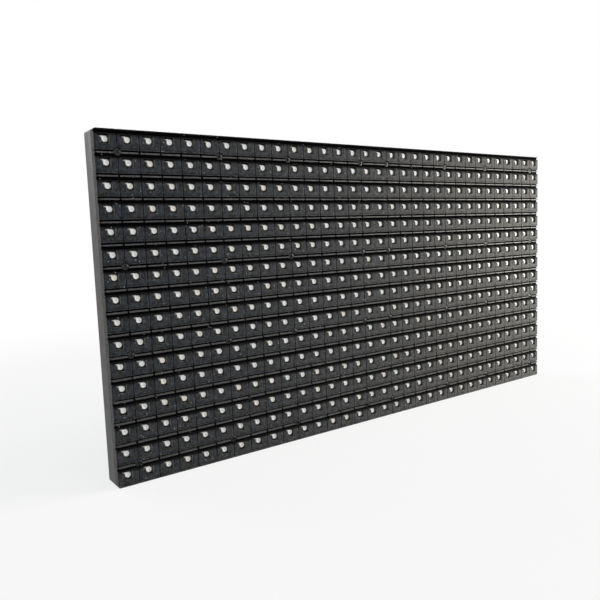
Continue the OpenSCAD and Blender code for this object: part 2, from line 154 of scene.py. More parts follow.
class MaskLook(bpy.types.PropertyGroup):
    """Finish of the two halves of the front mask."""

    pad: colour("Pads", "Plastic of the pads round the lamps", (0.001, 0.003, 0.006))
    mottle: colour("Mottle", "Lighter cloud in the plastic", (0.014, 0.020, 0.029))
    rib: colour("Ribs", "Fronts of the louvre ribs, which rub pale", (0.018, 0.021, 0.026))
    dust: colour("Dust", "Dust that clings to the face", (0.054, 0.058, 0.062))
    scuff: colour("Edges", "Moulded edges that rub pale", (0.040, 0.042, 0.045))
    # The near-black of painted shade in the grooves, the windows and along the top edge, also used for the
    # pads' dark parting line
    shade_and_line_black: colour("Grooves", "Soot in the grooves and round the windows", (0.001, 0.001, 0.0014))
    skirt: colour("Skirt", "Outer skin of the mask, like the shell", (0.033, 0.033, 0.032))
    # A pale colour painted on the window walls that face left, as if lit
    painted_lit_wall: colour("Window walls", "Smooth walls of the lamp windows", (0.09, 0.088, 0.082))
    lint: colour("Lint", "Pale specks of lint", (0.30, 0.30, 0.29))
    lint_size: length("Lint size", "Size of a speck of lint", 0.0004)
    grain: length("Grain", "Size of the moulded grain", 0.0008)
    edge: length("Edge", "Rounding of the moulded edges", 0.00018)
    roughness: share("Roughness", "Roughness of the moulded face", 0.5)
    gloss: share("Gloss", "Strength of the face's reflections", 0.03)
    sheen: share("Sheen", "Pale bloom that shows at shallow angles", 1.0)
    bloom: colour("Bloom", "Colour of the pale bloom", (1.0, 0.93, 0.83))
    spread: share("Sheen spread", "How far the bloom spreads from the shallow angles", 0.46)
    polish: share("Polish", "Roughness of the ribs' rubbed fronts", 0.34)
    line: length("Line", "How far the pads' parting line lies below the lamps", 0.00385)


class LampLook(bpy.types.PropertyGroup):
    """Finish of the lamps and of the silicone round them."""

    housing: colour("Housing", "White plastic of the lamp housings", (0.80, 0.79, 0.76))
    face: colour("Face", "Dark ink on the housings' faces", (0.020, 0.021, 0.023))
    warm: colour("Warm resin", "Resin of the warmest lamps", (0.95, 0.88, 0.74))
    cool: colour("Cool resin", "Resin of the coolest lamps", (0.92, 0.93, 0.93))
    die: colour("Dies", "Shade of the dies under the resin", (0.55, 0.55, 0.53))
    die_place: length("Die place", "How far a die lies from the middle of its lamp", 0.00042)
    ear_height: length("Ear height", "How far a lamp's ear lies above its centre", 0.00095)
    ear_half: length("Ear half", "Half the thickness of a lamp's ear at its root", 0.0005)
    ear_reach: length("Ear reach", "How far a lamp's ear stands out past the housing", 0.00085)
    silicone: colour("Silicone", "Silicone cast round the lamps", (0.012, 0.012, 0.013))


class BoardLook(bpy.types.PropertyGroup):
    """Finish of the circuit board and the pieces soldered to it."""

    mask: colour("Solder mask", "Varnish of the board", (0.018, 0.085, 0.045))
    track: colour("Tracks", "Varnish over the copper tracks", (0.030, 0.130, 0.066))
    tin: colour("Tin", "Tinned leads and solder", (0.66, 0.66, 0.67))
    gold: colour("Gold", "Plated contacts", (0.86, 0.63, 0.28))
    chip: colour("Chips", "Moulded bodies of the chips", (0.014, 0.014, 0.015))
    ceramic: colour("Ceramic", "Bodies of the chip capacitors", (0.33, 0.23, 0.14))
    header: colour("Signal headers", "Plastic of the signal headers", (0.013, 0.013, 0.015))
    power: colour("Power header", "Nylon of the power header", (0.74, 0.71, 0.62))
    can: colour("Cans", "Drawn aluminium of the capacitors", (0.74, 0.75, 0.77))
    legend: colour("Legend", "Ink printed on the board", (0.72, 0.73, 0.70))
    track_width: length("Track width", "Width of the thin tracks", 0.00025)
    rail_width: length("Rail width", "Width of the supply tracks", 0.0025)
    lead_thickness: length("Lead thickness", "Thickness of a chip's leads", 0.00016)
    lead_reach: length("Lead reach", "How far a lead reaches past its chip", 0.00105)
    lead_foot: length("Lead foot", "Length of a lead's soldered foot", 0.0005)


class ShellLook(bpy.types.PropertyGroup):
    """Finish of the rear shell and its fittings."""

    plastic: colour("Shell", "Moulded plastic of the rear shell", (0.017, 0.018, 0.020))
    rubber: colour("Seal", "Rubber of the rear seal", (0.010, 0.010, 0.010))
    brass: colour("Brass", "Brass of the threaded inserts", (0.72, 0.50, 0.20))
    steel: colour("Steel", "Blackened steel of the mask screws", (0.035, 0.035, 0.036))
    parting: length("Parting", "Gap between the mask's skirt and the shell's rim", 0.0002)
    rim_depth: length("Rim depth", "Depth of the shell's rim behind the parting", 0.0036)
    rim_width: length("Rim width", "How far the rim reaches in from the outline", 0.00085)
    corner: length("Corner", "Corner radius of the module's outline", 0.001)
    thread_pitch: length("Thread pitch", "Pitch of the inserts' thread", 0.0005)
    knurl_depth: length("Knurl depth", "Depth of the inserts' knurling", 0.00012)
    knurls: IntProperty(name="Knurls", description="Knurls round an insert", default=24, min=8)


class StageLook(bpy.types.PropertyGroup):
    """Studio, lights and camera."""

    floor: colour("Floor", "Pale studio floor", (0.90, 0.90, 0.90))
    warm: colour("Window tint", "Colour of the window and the card at the right", (1.0, 0.96, 0.88))
    cool: colour("Fill tint", "Colour of the light from all round", (0.90, 0.96, 1.0))
    camera_place: FloatVectorProperty(
        name="Camera place",
        description="Where the camera stands",
        default=(-0.2469, -0.27605, 0.11135),
        unit="LENGTH",
        subtype="TRANSLATION",
    )
    heading: bearing("Heading", "How far the camera turns to the right of the module's depth", 35.48)
    tilt: bearing("Tilt", "How far the camera looks up", -6.09)
    roll: bearing("Roll", "How far the camera leans", -2.21)
    lens: FloatProperty(name="Lens", description="Focal length, in millimetres", default=37.15, min=1.0)
    fill: share("Fill", "Strength of the light from all round", 0.32)
    window: glow("Window", "Brightness of the window at the right", 15.0)
    card: glow("Card", "Brightness of the low card at the right", 18.0)
    softbox: glow("Softbox", "Brightness of the softbox above", 1.5)
    front_fill: glow("Front fill", "Brightness of the light at the front left", 1.0)
    back_light: glow("Back light", "Brightness of the light behind", 1.6)


LOOKS = {"mask": MaskLook, "lamp": LampLook, "board": BoardLook, "shell": ShellLook, "stage": StageLook}


def look(name):
    """One group of settings of the scene."""
    return getattr(bpy.context.scene, "module_" + name)


# Materials


class Finish:
    """A material in the making, with short calls for the nodes that the patterns need."""

    def __init__(self, name, **constants):
        self.material = bpy.data.materials.new(name)
        self.material.use_nodes = True
        self.tree = self.material.node_tree
        self.tree.nodes.clear()
        self.shader = self.node("ShaderNodeBsdfPrincipled")
        output = self.node("ShaderNodeOutputMaterial")
        self.tree.links.new(self.shader.outputs[0], output.inputs["Surface"])
        coordinates = self.node("ShaderNodeTexCoord")
        self.place = coordinates.outputs["Object"]
        self.x, self.y, self.z = self.parts(self.place)
        self.facing = self.parts(coordinates.outputs["Normal"])
        self.set(**constants)

    def node(self, kind, inputs=None, **settings):
        made = self.tree.nodes.new(kind)
        for key, value in settings.items():
            setattr(made, key, value)
        for key, value in (inputs or {}).items():
            self.put(made.inputs[key], value)
        return made

    def put(self, socket, value):
        if isinstance(value, bpy.types.NodeSocket):
            self.tree.links.new(value, socket)
        elif socket.type == "RGBA":
            socket.default_value = (*value[:3], 1.0)
        else:
            socket.default_value = value

    def set(self, **values):
        """Sets or links the shader's sockets: base_color is its Base Color, and so on."""
        names = {"ior": "IOR", "specular_ior_level": "Specular IOR Level"}
        for key, value in values.items():
            self.put(self.shader.inputs[names.get(key, key.replace("_", " ").title())], value)

    def parts(self, vector):
        return list(self.node("ShaderNodeSeparateXYZ", {0: vector}).outputs)

    def vector(self, x, y, z):
        return self.node("ShaderNodeCombineXYZ", {0: x, 1: y, 2: z}).outputs[0]

    def vector_math(self, operation, *vectors):
        """Vector and single value that an operation on vectors gives."""
        return self.node("ShaderNodeVectorMath", dict(enumerate(vectors)), operation=operation).outputs

    def math(self, operation, a, b=0.0, c=0.0):
        return self.node("ShaderNodeMath", {0: a, 1: b, 2: c}, operation=operation).outputs[0]

    def times(self, *values):
        """Product of several values."""
        return reduce(lambda a, b: self.math("MULTIPLY", a, b), values)

    def most(self, *values):
        """Largest of several values."""
        return reduce(lambda a, b: self.math("MAXIMUM", a, b), values)

    def rest(self, value):
        """What a value leaves of 1."""
        return self.math("SUBTRACT", 1.0, value)

    def off(self, value, centre=0.0):
        """How far a value lies to either side of a centre."""
        return self.math("ABSOLUTE", self.math("SUBTRACT", value, centre))

    def reach(self, x, z):
        """Distance from the place where x and z are 0."""
        return self.vector_math("LENGTH", self.vector(x, 0.0, z))[1]

    def between(self, value, low, high):
        """Rises smoothly from 0 at low to 1 at high."""
        inputs = {0: value, 1: low, 2: high, 3: 0.0, 4: 1.0}
        return self.node("ShaderNodeMapRange", inputs, interpolation_type="SMOOTHSTEP").outputs[0]

    def band(self, value, centre, half, soft):
        """1 within half of the centre, and 0 from there on past a soft edge."""
        return self.between(self.off(value, centre), half + soft, half)

    def spread(self, value, low, high):
        """Takes 0 to 1 into low to high."""
        return self.math("MULTIPLY_ADD", value, high - low, low)

    def mix(self, factor, a, b):
        return self.node("ShaderNodeMix", {0: factor, 6: a, 7: b}, data_type="RGBA").outputs[2]

    def tint(self, base, shade, where, amount):
        """A base colour that takes an amount of a shade where a value is 1."""
        return self.mix(self.times(where, amount), base, shade)

    def noise(self, size, detail=2.0, stretch=(1.0, 1.0, 1.0)):
        """Noise with features of a given size, stretched along the axes."""
        scaled = self.vector_math("MULTIPLY", self.place, stretch)[0]
        inputs = {"Vector": scaled, "Scale": 1.0 / size, "Detail": detail}
        return self.node("ShaderNodeTexNoise", inputs).outputs[0]

    def patches(self, size, detail, low, high):
        """Soft patches where noise rises from low to high."""
        return self.between(self.noise(size, detail), low, high)

    def bump(self, height, depth, normal=None):
        """Surface normal of a pattern whose height runs from 0 to 1 over a depth."""
        inputs = {"Strength": 1.0, "Distance": depth, "Height": height}
        if normal is not None:
            inputs["Normal"] = normal
        return self.node("ShaderNodeBump", inputs).outputs[0]

    def rounded(self, radius):
        """Normal with rounded edges, and how near an edge the surface is."""
        soft = self.node("ShaderNodeBevel", {"Radius": radius}, samples=4).outputs[0]
        true = self.node("ShaderNodeNewGeometry").outputs["True Normal"]
        alike = self.vector_math("DOT_PRODUCT", soft, true)[1]
        return soft, self.between(alike, 0.985, 0.80)

    def cell(self):
        """Column, row and place in the cell, measured from its lamp."""
        across = self.math("DIVIDE", self.x, PITCH)
        up = self.math("ADD", self.math("DIVIDE", self.math("SUBTRACT", self.z, FIRST_ROW), PITCH), 0.5)
        column, row = (self.math("FLOOR", v) for v in (across, up))
        parts = [self.math("SUBTRACT", self.math("FRACT", v), 0.5) for v in (across, up)]
        right, above = (self.times(part, PITCH) for part in parts)
        return column, row, right, above

    def lines(self, value, step):
        """Stripes that take half of each step."""
        part = self.math("FRACT", self.math("DIVIDE", value, step))
        return self.between(self.off(part, 0.5), 0.29, 0.23)

    def chance(self, *seeds):
        """A value from 0 to 1 that is the same wherever the seeds are the same."""
        seeds = list(seeds) + [0.0] * (3 - len(seeds))
        return self.node("ShaderNodeTexWhiteNoise", {"Vector": self.vector(*seeds)}).outputs["Value"]


def mask_zones(f, s):
    """Shares of the mask: fronts of the ribs, all but the outer skin, the window walls that face left and
    are painted pale as if lit, and painted shade together with the pads' dark parting line.
    """
    _, _, right, above = f.cell()
    side = f.off(right)
    low, high = CAD_BOX
    half = (high - low) / 2
    skin, fade = 0.1 * MM, 0.4 * MM
    rib = f.between(f.y, PAD_FACE - 0.05 * MM, PAD_FACE - 0.15 * MM)
    inside = f.times(
        f.between(f.off(f.x, OBJECT_MIDDLE.x), half.x - skin, half.x - fade),
        f.between(f.off(f.z, OBJECT_MIDDLE.z), half.z - skin, half.z - fade),
    )
    beside_lamp = f.between(side, 4.0 * MM, 3.5 * MM)
    # The window walls that face left, which are painted pale as if lit
    painted_lit_wall = f.times(f.between(f.facing[0], -0.7, -0.95), beside_lamp, inside)

    # Painted shade deep down in the grooves and windows, with less of it in the joints between pads, on
    # ledges and on the walls painted as lit
    joint = f.times(
        f.between(side, 4.65 * MM, 4.75 * MM),
        f.between(above, 1.5 * MM, 1.0 * MM),
        f.between(above, -3.9 * MM, -3.7 * MM),
    )
    ledge = f.between(f.facing[2], 0.5, 0.9)
    deep = f.times(
        f.between(f.y, PAD_FACE + 0.1 * MM, PAD_FACE + 0.5 * MM),
        inside,
        f.spread(f.most(joint, ledge), 1.0, 0.3),
        f.spread(painted_lit_wall, 1.0, 0.1),
    )

    # Painted shadow under the ribs, a dark parting line across the pads, and painted shade along the top
    # edge
    below_rib = f.times(f.between(above, 0.9 * MM, 2.3 * MM), f.between(above, 4.1 * MM, 3.9 * MM))
    under = f.times(below_rib, inside, 0.86)
    line = f.times(f.band(above, -s.line, 0.12 * MM, 0.15 * MM), 0.45)
    top_edge = f.between(f.z, high.z - 1.6 * MM, high.z - 1.2 * MM)
    top = f.times(top_edge, f.between(f.facing[1], -0.2, -0.5), 0.9)
    painted_shade_and_line = f.most(f.times(f.most(deep, under, line), f.rest(rib)), top)
    return rib, inside, painted_lit_wall, painted_shade_and_line


def mask_plastic():
    """Charcoal plastic with a pale bloom and dust, paler on the ribs, with painted shade in the grooves and
    window walls painted pale as if lit.
    """
    s = look("mask")
    f = Finish(
        "mask_plastic",
        coat_roughness=s.polish,
        sheen_roughness=s.spread,
        sheen_tint=s.bloom,
        specular_ior_level=s.gloss,
    )
    rib, inside, painted_lit_wall, painted_shade_and_line = mask_zones(f, s)
    soft, near_edge = f.rounded(s.edge)
    dust = f.patches(0.9 * MM, 2.0, 0.52, 0.72)
    spots = [f.math("FLOOR", f.math("DIVIDE", v, s.lint_size)) for v in (f.x, f.z)]
    speck = f.math("GREATER_THAN", f.chance(*spots, 7.0), 0.9975)
    base = f.mix(f.patches(2.6 * MM, 4.0, 0.35, 0.65), s.pad, s.mottle)
    base = f.mix(inside, s.skirt, f.mix(rib, base, s.rib))
    base = f.tint(base, s.scuff, near_edge, 0.25)
    base = f.tint(base, s.dust, dust, 0.45)
    # Painted shade goes into the grooves, the windows, under the ribs and along the top edge, with the dark
    # parting line; the window walls that face left are painted pale as if lit
    base = f.mix(painted_lit_wall, f.mix(painted_shade_and_line, base, s.shade_and_line_black), s.painted_lit_wall)
    base = f.tint(base, s.lint, speck, 0.7)

    # The bloom is uneven, weaker on faces that look sideways, and taken away where shade is painted
    front = f.spread(f.between(f.facing[1], -0.75, -0.95), 0.35, 1.0)
    uneven = f.spread(f.patches(1.1 * MM, 3.0, 0.36, 0.64), s.sheen * 0.4, s.sheen)
    rough = f.spread(f.noise(4 * MM), s.roughness - 0.06, s.roughness + 0.06)
    f.set(
        base_color=base,
        roughness=f.most(rough, painted_shade_and_line),
        sheen_weight=f.times(f.rest(painted_shade_and_line), uneven, f.most(front, rib, painted_lit_wall)),
        coat_weight=f.times(rib, 0.45),
        normal=f.bump(f.math("ADD", f.noise(s.grain, 3.0), dust), 0.05 * MM, soft),
    )
    return f.material


def lamp_white():
    """White lamp housing with dark ink on its face."""
    s = look("lamp")
    f = Finish("lamp_white")
    column, row, right, above = f.cell()
    flat = f.between(f.facing[1], -0.97, -0.995)
    front = f.between(f.y, LAMP_FACE + 0.05 * MM, LAMP_FACE + 0.02 * MM)
    ear_root = f.band(above, s.ear_height, s.ear_half, 0.06 * MM)
    bare = f.times(f.between(right, -0.6 * MM, -0.7 * MM), ear_root)
    white = f.tint(s.housing, s.warm, f.chance(column, row), 0.5)
    dark = f.tint(s.face, (0.06, 0.06, 0.06), f.patches(0.5 * MM, 3.0, 0.66, 0.8), 0.3)
    f.set(
        base_color=f.mix(f.times(flat, front, f.rest(bare)), white, dark),
        roughness=f.spread(f.noise(0.4 * MM), 0.38, 0.5),
        normal=f.bump(f.noise(0.12 * MM), 0.006 * MM),
    )
    return f.material


def lamp_resin():
    """Milky resin with a faint shade of the three dies, a little warmer or cooler on each lamp."""
    s = look("lamp")
    f = Finish("lamp_resin", roughness=0.3, coat_weight=0.2, coat_roughness=0.12)
    column, row, right, above = f.cell()
    base = f.mix(f.math("POWER", f.chance(column, row, 3.0), 3.0), s.cool, s.warm)
    dies = []
    for angle in (90, 210, 330):
        off_x = f.off(right, s.die_place * math.cos(math.radians(angle)))
        off_z = f.off(above, s.die_place * math.sin(math.radians(angle)))
        dies.append(f.between(f.most(off_x, off_z), 0.34 * MM, 0.16 * MM))
    base = f.tint(base, s.die, f.most(*dies), 0.35)
    f.set(base_color=base, normal=f.bump(f.noise(0.6 * MM, 1.0), 0.02 * MM))
    return f.material


def silicone():
    """Black silicone with the slow waves of a poured surface."""
    f = Finish("silicone", specular_ior_level=0.35)
    base = f.mix(f.patches(6 * MM, 3.0, 0.4, 0.7), look("lamp").silicone, (0.02, 0.02, 0.022))
    height = f.math("ADD", f.noise(3 * MM, 1.0), f.times(f.noise(0.2 * MM), 0.1))
    f.set(base_color=base, roughness=f.spread(f.noise(2 * MM), 0.3, 0.5), normal=f.bump(height, 0.12 * MM))
    return f.material


def shell_plastic():
    """Black moulded plastic with grain, round ejector marks and scuffed edges."""
    f = Finish("shell_plastic", specular_ior_level=0.45)
    soft, near_edge = f.rounded(0.25 * MM)
    base = f.mix(f.patches(14 * MM, 3.0, 0.35, 0.7), look("shell").plastic, (0.027, 0.028, 0.030))
    base = f.tint(base, (0.07, 0.07, 0.072), near_edge, 0.4)
    base = f.tint(base, (0.08, 0.078, 0.072), f.patches(2.2 * MM, 4.0, 0.6, 0.85), 0.25)
    step = 25 * MM
    ring_x, ring_z = (f.math("SUBTRACT", f.math("PINGPONG", v, step), step / 2) for v in (f.x, f.z))
    ring = f.band(f.reach(ring_x, ring_z), 1.6 * MM, 0.08 * MM, 0.1 * MM)
    mark = f.times(ring, f.between(f.facing[1], 0.9, 0.98))
    grain = f.math("ADD", f.noise(0.4 * MM, 3.0), f.times(mark, -2.0))
    rough = f.spread(f.noise(5 * MM), 0.4, 0.55)
    f.set(base_color=base, roughness=rough, normal=f.bump(grain, 0.02 * MM, soft))
    return f.material


def seal_rubber():
    """Matt black rubber with a dusty bloom."""
    f = Finish("seal_rubber", specular_ior_level=0.3)
    bloom = f.patches(1.5 * MM, 4.0, 0.5, 0.8)
    base = f.tint(look("shell").rubber, (0.05, 0.049, 0.046), bloom, 0.5)
    pores = f.noise(0.25 * MM, 3.0)
    f.set(base_color=base, roughness=f.spread(bloom, 0.7, 0.85), normal=f.bump(pores, 0.03 * MM))
    return f.material


def metal(name, shade, dull, rough_low, rough_high):
    """Metal with a fine grain and duller patches."""
    f = Finish(name, metallic=1.0)
    tarnish = f.patches(0.9 * MM, 3.0, 0.45, 0.75)
    f.set(
        base_color=f.tint(shade, dull, tarnish, 0.6),
        roughness=f.spread(tarnish, rough_low, rough_high),
        normal=f.bump(f.noise(0.3 * MM), 0.006 * MM),
    )
    return f.material


def solder_tin(name, rough_low=0.28, rough_high=0.45):
    """Tinned leads, ends and tabs, and their solder."""
    return metal(name, look("board").tin, (0.45, 0.45, 0.46), rough_low, rough_high)


def moulding(name, shade, cloudy, rough, **constants):
    """Small moulded piece: a cloudy colour, a fine grain and rounded edges."""
    f = Finish(name, **constants)
    soft, near_edge = f.rounded(0.12 * MM)
    base = f.mix(f.patches(1.6 * MM, 3.0, 0.35, 0.7), shade, cloudy)
    base = f.tint(base, [min(1.0, c * 2.2 + 0.02) for c in cloudy], near_edge, 0.25)
    f.set(
        base_color=base,
        roughness=f.spread(f.noise(0.8 * MM), rough - 0.06, rough + 0.06),
        normal=f.bump(f.noise(0.15 * MM), 0.008 * MM, soft),
    )
    return f.material


def board_varnish():
    """Green varnish over copper fields and tracks, with the lamps' plated holes and a bare cut edge."""
    s = look("board")
    f = Finish("board", coat_weight=0.25, coat_roughness=0.2)
    column, row, right, above = f.cell()
    side, level = f.off(right), f.off(above)

    # Copper: fields round some lamps, and bundles of tracks between the rows and columns
    pair, block = f.math("FLOOR", f.math("DIVIDE", column, 2.0)), f.math("FLOOR", f.math("DIVIDE", row, 4.0))
    field = f.times(f.between(f.chance(pair, row, 5.0), 0.55, 0.56), f.between(level, 2.6 * MM, 2.5 * MM))
    across = f.times(
        f.lines(above, 0.5 * MM),
        f.between(level, 3.1 * MM, 3.2 * MM),
        f.between(f.chance(row, 2.0), 0.3, 0.31),
    )
    upright = f.times(
        f.lines(right, 0.5 * MM),
        f.between(side, 3.6 * MM, 3.7 * MM),
        f.between(level, 3.0 * MM, 2.9 * MM),
        f.between(f.chance(column, block), 0.5, 0.51),
    )
    copper = f.most(field, across, upright)

    # Plated holes: four round each lamp, each with a near-black centre painted as the shade down its
    # unmodelled hole
    hole = f.reach(f.math("SUBTRACT", side, 2.1 * MM), f.math("SUBTRACT", level, 1.3 * MM))
    ring = f.band(hole, 0.3 * MM, 0.13 * MM, 0.03 * MM)
    bore = f.between(hole, 0.18 * MM, 0.15 * MM)

    # Glass threads show faintly through the varnish
    threads = f.times(*(f.math("SINE", f.times(v, 9000.0)) for v in (f.x, f.z)))
    base = f.tint(f.mix(copper, s.mask, s.track), (0.05, 0.12, 0.07), threads, 0.06)
    # The centres of the plated holes get painted shade
    base = f.mix(bore, f.mix(ring, base, s.tin), (0.01, 0.01, 0.01))
    edge = f.math("GREATER_THAN", 0.5, f.off(f.facing[1]))
    f.set(
        base_color=f.mix(edge, base, (0.20, 0.19, 0.11)),
        metallic=f.times(ring, f.rest(edge)),
        roughness=f.spread(f.noise(3 * MM), 0.3, 0.42),
        normal=f.bump(f.math("ADD", copper, f.times(f.noise(1.0 * MM), 0.3)), 0.02 * MM),
    )
    return f.material


def can_aluminium():
    """Drawn aluminium with a dark polarity segment on the top."""
    f = Finish("can_aluminium", metallic=1.0)
    low, high = solids("capacitor_cans")[0]
    centre, radius = abs(low.x + high.x) / 2, (high.x - low.x) / 2
    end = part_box("capacitor_cans")[1].y
    out = f.math("SUBTRACT", f.off(f.x), centre)
    top = f.between(f.y, end - 0.15 * MM, end - 0.05 * MM)
    mark = f.times(top, f.between(out, radius * 0.42, radius * 0.46))
    lines = f.noise(0.2 * MM, 2.0, (1.0, 0.05, 1.0))
    base = f.mix(mark, f.mix(lines, look("board").can, (0.55, 0.56, 0.58)), (0.01, 0.01, 0.012))
    f.set(base_color=base, roughness=f.spread(lines, 0.22, 0.36), normal=f.bump(lines, 0.01 * MM))
    return f.material


def paint(material, *nodes):
    """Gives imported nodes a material."""
    for name in nodes:
        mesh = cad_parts[name].data
        mesh.materials.clear()
        mesh.materials.append(material)


# Meshes


def add_piece(name, points, faces, material, replaces=(), sharp=35.0):
    """A mesh that rides with the module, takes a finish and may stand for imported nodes."""
    mesh = bpy.data.meshes.new(name)
    mesh.from_pydata([tuple(p) for p in points], [], faces)
    mesh.shade_smooth()
    mesh.set_sharp_from_angle(angle=math.radians(sharp))
    mesh.materials.append(material)
    piece = bpy.data.objects.new(name, mesh)
    bpy.context.scene.collection.objects.link(piece)
    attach(piece, "root")
    if replaces:
        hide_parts(*replaces)
    return piece


class Heap:
    """Points and faces that gather from several shapes."""

    def __init__(self):
        self.points = []
        self.faces = []

    def add(self, shape, place=None):
        points, faces = shape
        start = len(self.points)
        if place is not None:
            points = [place @ Vector(p) for p in points]
            if place.determinant() < 0:
                faces = [face[::-1] for face in faces]
        self.points.extend(points)
        self.faces.extend(tuple(start + i for i in face) for face in faces)

    def piece(self, name, material, slot, replaces=(), sharp=35.0):
        if not self.faces:
            raise RuntimeError(f"{name} has no faces")
        return add_piece(name, self.points, self.faces, material, replaces, sharp)


def soft_box(low, high, bevel, segments=2):
    """A box with bevelled edges."""
    low, high = Vector(low), Vector(high)
    shape = bmesh.new()
    bmesh.ops.create_cube(shape, size=1.0)
    size, centre = high - low, (high + low) / 2
    for vertex in shape.verts:
        vertex.co = Vector(vertex.co[i] * size[i] + centre[i] for i in range(3))
    bmesh.ops.bevel(shape, geom=shape.edges, offset=bevel, segments=segments, profile=0.5, affect="EDGES")
    shape.verts.index_update()
    points = [v.co.copy() for v in shape.verts]
    faces = [tuple(v.index for v in face.verts) for face in shape.faces]
    shape.free()
    return points, faces


def solder_pad(low, high):
    """Thin pad of solder on the board, between two corners."""
    corners = [(min(a, b), max(a, b)) for a, b in zip(low, high)]
    return soft_box([c[0] for c in corners], [c[1] for c in corners], 0.012 * MM, 1)


def turned(profile, steps, radius_at=None):
    """A surface turned about Z from (radius, height) points, closed at both ends by points on the axis
    or, where the last point meets the first, into a ring."""
    ring = profile[0] == profile[-1]
    rows = profile[:-1] if ring else profile
    points, starts = [], []
    for radius, height in rows:
        starts.append(len(points))
        count = 1 if radius == 0 else steps
        for step in range(count):
            angle = 2 * math.pi * step / steps
            r = radius_at(radius, height, angle) if radius_at and radius else radius
            points.append(Vector((r * math.cos(angle), r * math.sin(angle), height)))
    faces = []
    pairs = list(range(len(rows) - 1)) + ([len(rows) - 1] if ring else [])
    for i in pairs:
        j = (i + 1) % len(rows)
        for step in range(steps):
            n = (step + 1) % steps
            a = [starts[i]] if rows[i][0] == 0 else [starts[i] + step, starts[i] + n]
            b = [starts[j]] if rows[j][0] == 0 else [starts[j] + n, starts[j] + step]
            faces.append(tuple(a + b))
    return points, faces


def loft(rings, closed=False):
    """A skin over rings of points, each counter-clockwise as seen from the ring after it. Its ends are
    capped, or the last ring joins the first."""
    count = len(rings[0])
    points = [Vector(point) for ring in rings for point in ring]
    starts = [count * i for i in range(len(rings))]
    pairs = list(zip(starts, starts[1:] + starts[:1]))
    faces = []
    for a, b in pairs if closed else pairs[:-1]:
        for i in range(count):
            j = (i + 1) % count
            faces.append((a + i, a + j, b + j, b + i))
    if not closed:
        faces.append(tuple(reversed(range(count))))
        faces.append(tuple(starts[-1] + i for i in range(count)))
    return points, faces


def extruded(outline, depth):
    """An outline in X and Y, raised along Z by a depth about the middle."""
    return loft([[(x, y, z) for x, y in outline] for z in (-depth / 2, depth / 2)])


def mesh_shape(obj):
    """Points and faces of an object with its modifiers applied."""
    evaluated = obj.evaluated_get(bpy.context.evaluated_depsgraph_get())
    mesh = bpy.data.meshes.new_from_object(evaluated)
    shape = [v.co.copy() for v in mesh.vertices], [tuple(p.vertices) for p in mesh.polygons]
    bpy.data.meshes.remove(mesh)
    return shape


def cut(shape, tool):
    """One closed shape less another."""
    made = []
    for label, (points, faces) in (("cut_body", shape), ("cut_tool", tool)):
        mesh = bpy.data.meshes.new(label)
        mesh.from_pydata([tuple(p) for p in points], [], faces)
        made.append(bpy.data.objects.new(label, mesh))
        bpy.context.scene.collection.objects.link(made[-1])
    body, cutter = made
    modifier = body.modifiers.new("cut", "BOOLEAN")
    modifier.operation = "DIFFERENCE"
    modifier.solver = "EXACT"
    modifier.object = cutter
    result = mesh_shape(body)
    for obj in made:
        mesh = obj.data
        bpy.data.objects.remove(obj)
        bpy.data.meshes.remove(mesh)
    if not result[1]:
        raise RuntimeError("the cut left nothing")
    return result


def screw_shape(head, crown, total, shank):
    """Self-tapping screw along Z with its head up: crowned head, cross recess and thread."""
    top = head / 3
    thread = shank * 0.36
    neck = -0.3 * MM
    tip = top - total

    def coarse(radius, height, angle):
        if not tip + shank / 2 < height < neck:
            return radius
        turn = (height / thread - angle / (2 * math.pi)) % 1.0
        return radius - 0.16 * shank * abs(2 * turn - 1)

    profile = [(0, top)]
    for step in range(1, 7):
        angle = math.pi / 2 * step / 6
        profile.append((head / 2 * math.sin(angle), top - crown * (1 - math.cos(angle))))
    profile += [(head / 2, 0), (shank / 2, 0)]
    rows = 48
    for step in range(rows + 1):
        height = neck + (tip + shank / 2 - neck) * step / rows
        profile.append((shank / 2, height))
    profile += [(shank / 8, tip + shank / 8), (0, tip)]
    body = turned(profile, 24, coarse)
    recess = Heap()
    arm, width, floor = head * 0.29, head * 0.085, top * 0.35
    outline = [(width, width), (width, arm), (-width, arm), (-width, width)]
    outline += [(-arm, width), (-arm, -width), (-width, -width), (-width, -arm)]
    outline += [(width, -arm), (width, -width), (arm, -width), (arm, width)]
    recess.add(extruded(outline, top), Matrix.Translation((0, 0, floor + top / 2)))
    return cut(body, (recess.points, recess.faces))


def lead_shape(s, width, rise):
    """Gull-wing lead that leaves a chip along Y at a height of rise and ends in a flat foot."""
    t, reach = s.lead_thickness, s.lead_reach
    bend = reach - s.lead_foot
    over = [(-0.2 * MM, rise + t / 2), (bend * 0.42, rise + t / 2), (bend * 0.7, rise - t * 0.2)]
    over += [(bend, t * 1.25), (bend * 1.2, t), (reach, t)]
    under = [(-0.2 * MM, rise - t / 2), (bend * 0.35, rise - t / 2), (bend * 0.5, rise - t)]
    under += [(bend * 0.82, t * 0.4), (bend * 1.1, 0.0), (reach, 0.0)]
    half = width / 2
    return loft([[(-half, *o), (half, *o), (half, *u), (-half, *u)] for o, u in zip(over, under)])


def pin_shape(box, tip):
    """Square contact along Y with a tapered tip at its rear end."""
    low, high = box
    half = (high.x - low.x) / 2
    rings = [(low.y, half), (high.y - tip, half), (high.y, half * 0.45)]
    centre = (low + high) / 2
    corners = ((-1, 1), (1, 1), (1, -1), (-1, -1))
    return loft([[(centre.x + x * h, y, centre.z + z * h) for x, z in corners] for y, h in rings])


